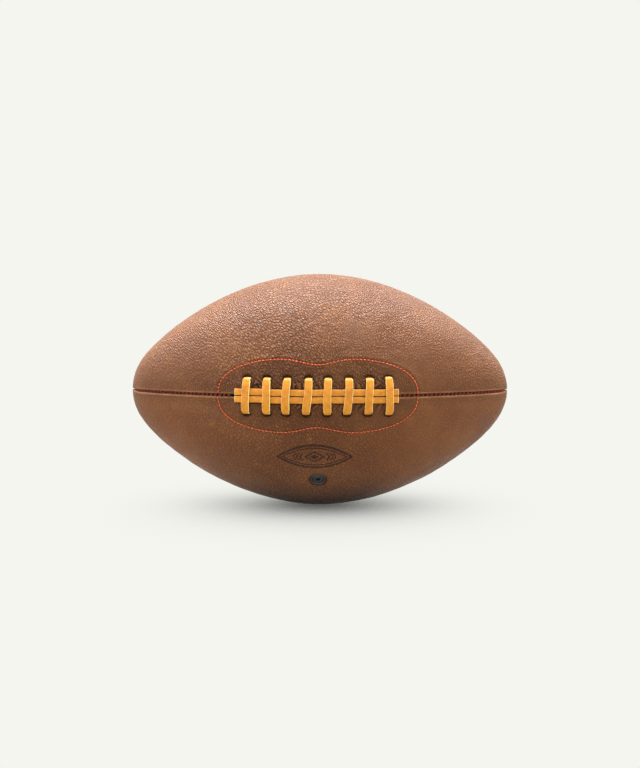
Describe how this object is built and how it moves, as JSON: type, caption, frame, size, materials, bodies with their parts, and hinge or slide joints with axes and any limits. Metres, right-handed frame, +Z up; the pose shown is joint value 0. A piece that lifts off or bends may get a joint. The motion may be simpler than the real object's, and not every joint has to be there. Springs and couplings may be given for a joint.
{
  "type": "american football",
  "caption": "Laced leather ball with pointed ends, made of sewn panels over linings and an air bladder, with a push-in valve.",
  "frame": {"origin": "centre of the ball, on its long axis, midway between the two pointed ends", "axes": "+X along the long axis; -Y is the laced side, with the laced seam rolled 4.5 degrees up from -Y; +Z is up as the ball lies on its side"},
  "size_m": [0.2792, 0.1749, 0.1714],
  "materials": {
    "panel_leather": "satin",
    "lining_fabric": "matte",
    "bladder_rubber": "matte",
    "valve_rubber": "satin",
    "plug_rubber": "satin",
    "facing_leather": "matte",
    "lace_leather": "satin",
    "outline_thread": "satin",
    "seam_thread": "satin"
  },
  "bodies": {
    "ball": {"panel_upper_front": "panel_leather", "panel_lower_front": "panel_leather", "panel_upper_back": "panel_leather", "panel_lower_back": "panel_leather", "lining_upper_front": "lining_fabric", "lining_lower_front": "lining_fabric", "lining_upper_back": "lining_fabric", "lining_lower_back": "lining_fabric", "bladder": "bladder_rubber", "valve_boot": "valve_rubber", "lacing_facing_upper": "facing_leather", "lacing_facing_lower": "facing_leather", "lacing_tongue": "facing_leather", "lace_strand_upper": "lace_leather", "lace_strand_lower": "lace_leather", "cross_lace": "lace_leather", "outline_stitch_upper": "outline_thread", "outline_stitch_lower": "outline_thread", "seam_thread_front_left": "seam_thread", "seam_thread_front_right": "seam_thread", "seam_thread_top": "seam_thread", "seam_thread_back": "seam_thread", "seam_thread_bottom": "seam_thread"},
    "valve_plug": {"valve_plug": "plug_rubber"}
  },
  "joints": [
    {"name": "valve_plug_slide", "type": "slide", "parent": "ball", "child": "valve_plug", "axis": [0, -0.7431, -0.6691], "range_m": [0, 0.018]}
  ]
}
